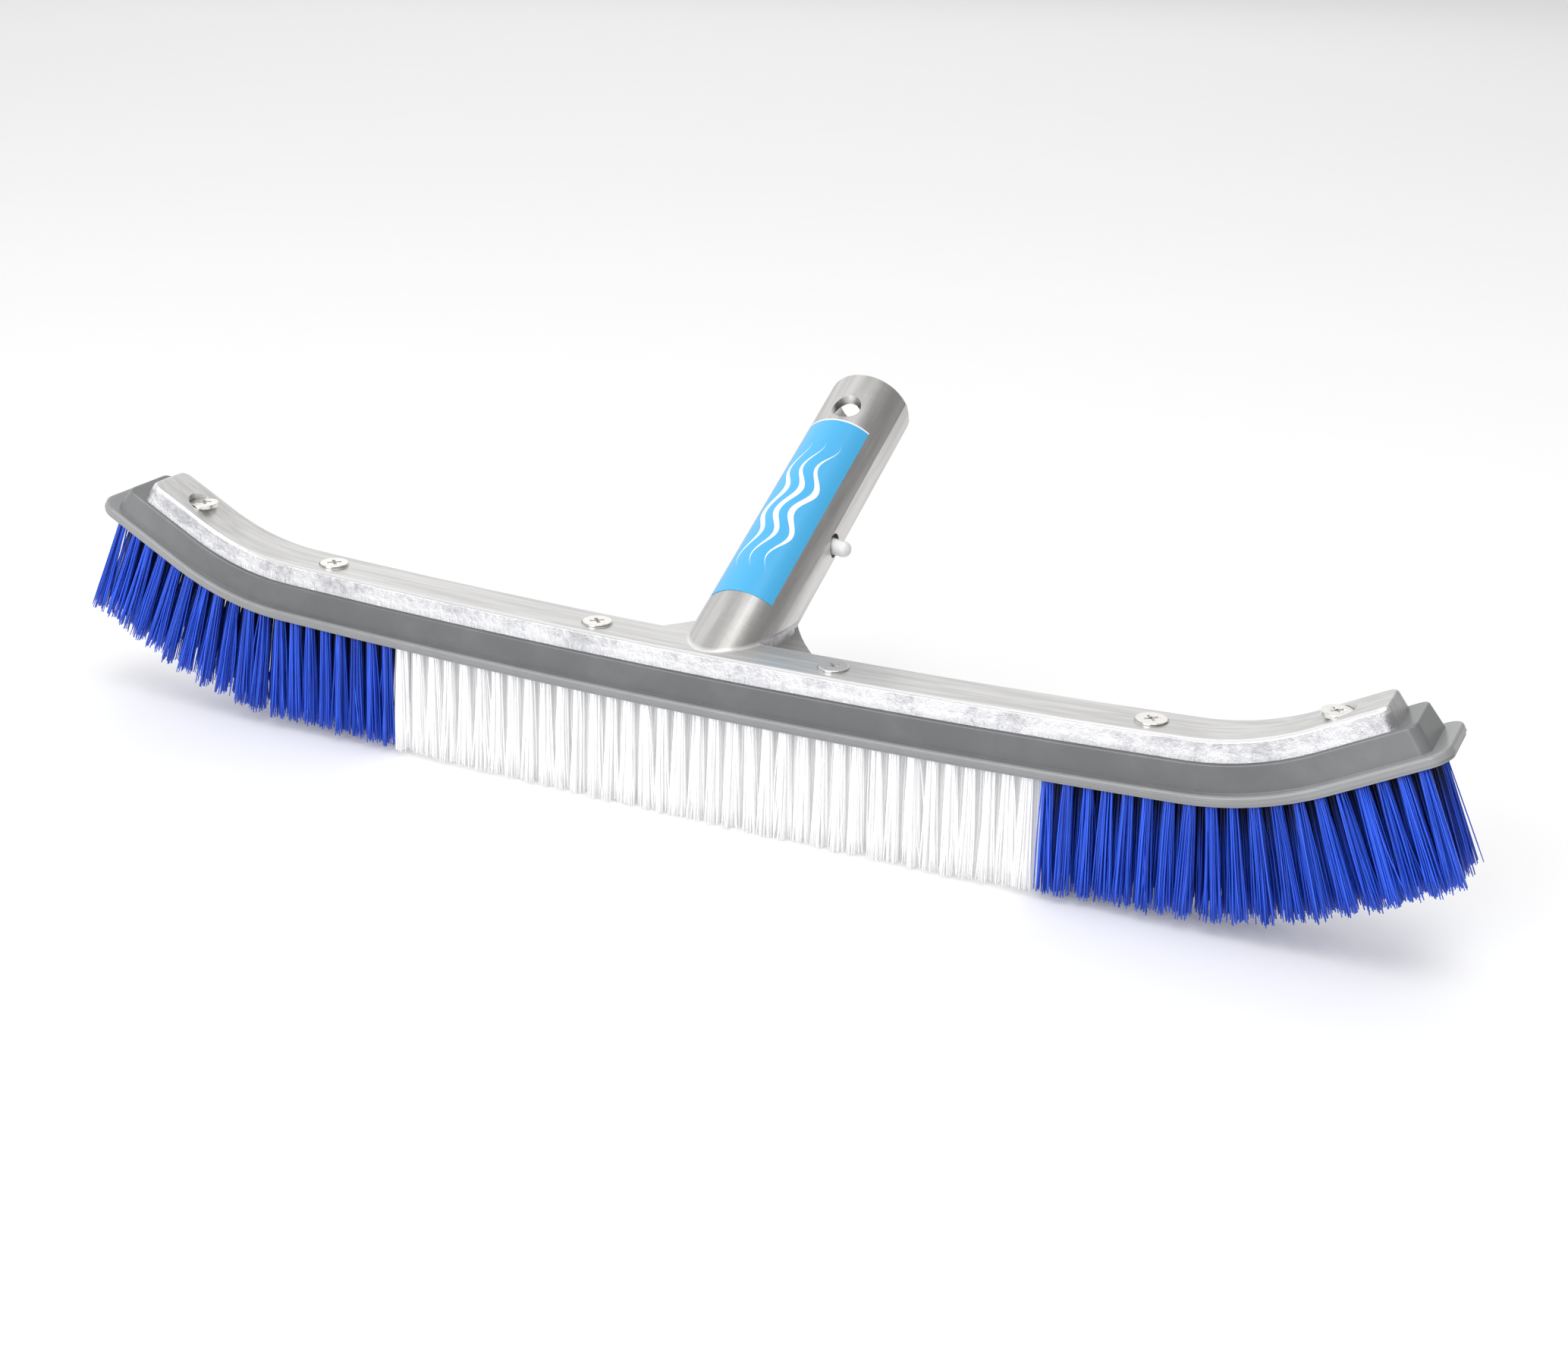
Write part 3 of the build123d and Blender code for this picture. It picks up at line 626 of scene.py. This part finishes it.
film, tree, shader, coords = new_material("label_film")
place = coords.outputs["Object"]
tube = use_effect(tree, tube_effect, {"Place": place})
skin = use_effect(tree, grain_effect, {"Place": place, "Scale": 120.0})
arc = calc(tree, "MULTIPLY", tube["Round"], film_radius)
swell = calc(tree, "SINE", calc(tree, "MULTIPLY", tube["Up"], 2 * math.pi / wave_length))
level = calc(tree, "ADD", calc(tree, "MULTIPLY_ADD", swell, -wave_height, arc), wave_shift)
nearest = calc(tree, "PINGPONG", calc(tree, "ADD", level, 20 * wave_gap), wave_gap / 2)
inside = calc(tree, "ABSOLUTE", level)
inside = ramp(tree, inside, wave_field, wave_field + print_sharpness, 1.0, 0.0)
middle = calc(tree, "ABSOLUTE", calc(tree, "SUBTRACT", tube["Up"], film_middle))
half_width = ramp(tree, middle, *wave_taper, wave_half_width, 0.0)
stripe = calc(tree, "SUBTRACT", half_width, nearest)
stripe = ramp(tree, stripe, -stroke_sharpness, stroke_sharpness)
inside = calc(tree, "MULTIPLY", inside, ramp(tree, middle, *wave_ends, 1.0, 0.0))
top_edge = ramp(tree, tube["Up"], film_top, film_top + print_sharpness)
printed = calc(tree, "MAXIMUM", calc(tree, "MULTIPLY", stripe, inside), top_edge)
tree.links.new(mix(tree, printed, film_blue, film_white), shader.inputs["Base Color"])
tree.links.new(calc(tree, "MULTIPLY_ADD", skin["Grain"], 0.10, 0.25), shader.inputs["Roughness"])
bump = wire(tree, "ShaderNodeBump", {"Height": skin["Clouds"], "Distance": 0.0001, "Strength": 0.2})
tree.links.new(bump.outputs[0], shader.inputs["Normal"])
finish_node("label", film)


# Spring clip: one white nylon moulding inside the socket, whose two legs press the latch pins out through its
# sides. The nylon is milky and a little glossy.
nylon_light = (0.80, 0.80, 0.80, 1)
nylon_dark = (0.70, 0.70, 0.71, 1)

nylon, tree, shader, coords = new_material("white_nylon")
skin = use_effect(tree, grain_effect, {"Place": coords.outputs["Object"], "Scale": 150.0})
tree.links.new(mix(tree, skin["Clouds"], nylon_dark, nylon_light), shader.inputs["Base Color"])
tree.links.new(calc(tree, "MULTIPLY_ADD", skin["Grain"], 0.15, 0.22), shader.inputs["Roughness"])
bump = wire(tree, "ShaderNodeBump", {"Height": skin["Clouds"], "Distance": 0.0001, "Strength": 0.3})
tree.links.new(bump.outputs[0], shader.inputs["Normal"])
shader.inputs["Subsurface Weight"].default_value = 0.3
shader.inputs["Subsurface Scale"].default_value = 0.002
shader.inputs["Subsurface Radius"].default_value = (1, 1, 1)
for name in ("clip_bridge", "clip_leg_right", "clip_leg_left"):
    finish_node(name, nylon)


# Studio: a plain pale floor, three soft panels, a world that darkens to the right, and the camera. Each panel
# is a place, a size and a radiance, and looks at the middle of the brush.
floor_half = 20.0
panel_aim = Vector((0, 0, 0.05))
grid = np.array([[-1, -1, 0], [1, -1, 0], [1, 1, 0], [-1, 1, 0]]) * floor_half
floor = fill_mesh("studio_floor", grid, np.array([[0, 1, 2, 3]]))
paper, tree, shader, coords = new_material("floor_paper")
skin = use_effect(tree, grain_effect, {"Place": coords.outputs["Object"], "Scale": 30.0})
paper_colour = mix(tree, skin["Clouds"], (0.86, 0.86, 0.86, 1), (0.88, 0.88, 0.88, 1))
tree.links.new(paper_colour, shader.inputs["Base Color"])
shader.inputs["Roughness"].default_value = 0.9
shader.inputs["Specular IOR Level"].default_value = 0.1
shader.inputs["Emission Color"].default_value = (1, 1, 1, 1)
shader.inputs["Emission Strength"].default_value = 0.10
floor.data.materials.append(paper)

panels = {
    "back_panel": ((-0.9, 1.9, 1.4), 2.2, 0.35),
    "top_panel": ((0.4, -0.4, 1.8), 1.3, 2.5),
    "front_panel": ((-0.5, -1.9, 0.75), 1.5, 3.6),
}
for name, (place, size, radiance) in panels.items():
    light = bpy.data.lights.new(name, "AREA")
    light.shape, light.size, light.energy = "SQUARE", size, radiance * math.pi * size**2
    panel = bpy.data.objects.new(name, light)
    panel.location = place
    panel.rotation_euler = (panel_aim - Vector(place)).to_track_quat("-Z", "Y").to_euler()
    bpy.context.scene.collection.objects.link(panel)

world = bpy.data.worlds.new("studio")
world.use_nodes = True
tree = world.node_tree
sky = wire(tree, "ShaderNodeSeparateXYZ", {0: wire(tree, "ShaderNodeTexCoord").outputs["Generated"]}).outputs
across_sky = calc(tree, "MULTIPLY_ADD", sky["Y"], -0.2, sky["X"])
world_light = ramp(tree, across_sky, -0.9, 0.75, 0.95, 0.38)
tree.links.new(world_light, tree.nodes["Background"].inputs["Strength"])
tree.nodes["Background"].inputs["Color"].default_value = (1, 1, 1, 1)
bpy.context.scene.world = world
bpy.context.scene.view_settings.view_transform = "Standard"

camera_place = (0.29672, -0.60672, 0.30959)
azimuth, elevation, roll = (math.radians(angle) for angle in (24.186, 21.459, 1.781))
back = Vector(
    (math.sin(azimuth) * math.cos(elevation), -math.cos(azimuth) * math.cos(elevation), math.sin(elevation))
)
right = Vector((math.cos(azimuth), math.sin(azimuth), 0))
up = back.cross(right)
camera_data = bpy.data.cameras.new("camera")
camera_data.sensor_width, camera_data.lens = 36.0, 54.143
camera_data.clip_start, camera_data.clip_end = 0.05, 20.0
camera = bpy.data.objects.new("camera", camera_data)
turned_x = right * math.cos(roll) + up * math.sin(roll)
turned_y = up * math.cos(roll) - right * math.sin(roll)
turn = Matrix((turned_x, turned_y, back)).transposed().to_4x4()
camera.matrix_world = Matrix.Translation(camera_place) @ turn
bpy.context.scene.collection.objects.link(camera)
bpy.context.scene.camera = camera
